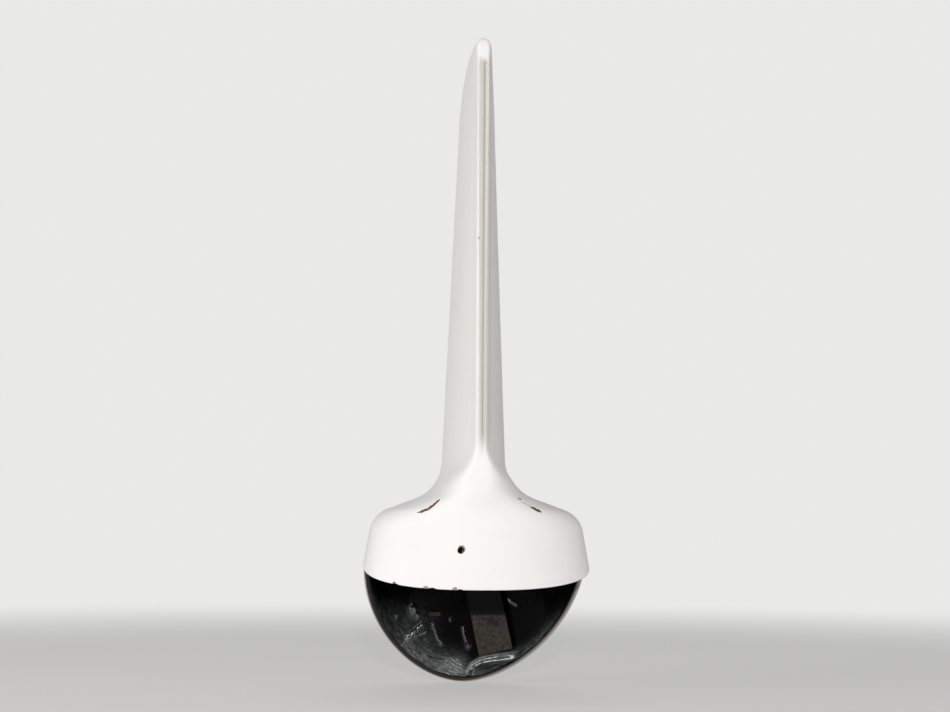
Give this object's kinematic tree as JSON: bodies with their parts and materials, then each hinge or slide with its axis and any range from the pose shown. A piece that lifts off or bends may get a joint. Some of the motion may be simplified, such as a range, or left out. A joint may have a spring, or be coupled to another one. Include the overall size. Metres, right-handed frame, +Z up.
{
  "type": "aircraft antenna",
  "caption": "Slim moulded blade antenna whose mast flows into a wide hollow pod with a saddle-shaped open underside and a coaxial feed jack inside.",
  "frame": {"origin": "seat datum: level of the near rim, in the plane of symmetry, under the middle of the mast", "axes": "+Z up the mast, -Y the blunt near edge, +Y the rounded nose, X across the pod"},
  "size_m": [0.11, 0.118, 0.3175],
  "materials": {
    "white_gelcoat": "white paint on glass fibre, satin, cracked and chipped; black resin inside",
    "black_resin": "brushed-on glossy black resin",
    "copper": "dull copper",
    "board": "brown glass-epoxy laminate",
    "steel": "plated, satin",
    "tinned_strap": "tinned, gone dull grey-brown",
    "brass": "dull",
    "nickel": "nickel plate, satin",
    "white_insulator": "satin fluoropolymer",
    "ceramic_disc": "satin dip coat"
  },
  "bodies": {
    "root": {"fairing_shell": "white_gelcoat", "radiator_strip": "copper", "root_seal": "black_resin", "feed_board": "board", "board_washers": "steel", "board_screws": "steel", "ground_strap": "tinned_strap", "strap_bond": "black_resin", "bonding_tab": "brass", "connector_body": "nickel", "connector_insulator": "white_insulator", "connector_contact": "brass", "connector_screws": "steel", "connector_nuts": "steel", "matching_coil": "copper", "tuning_capacitor": "ceramic_disc"}
  },
  "joints": []
}
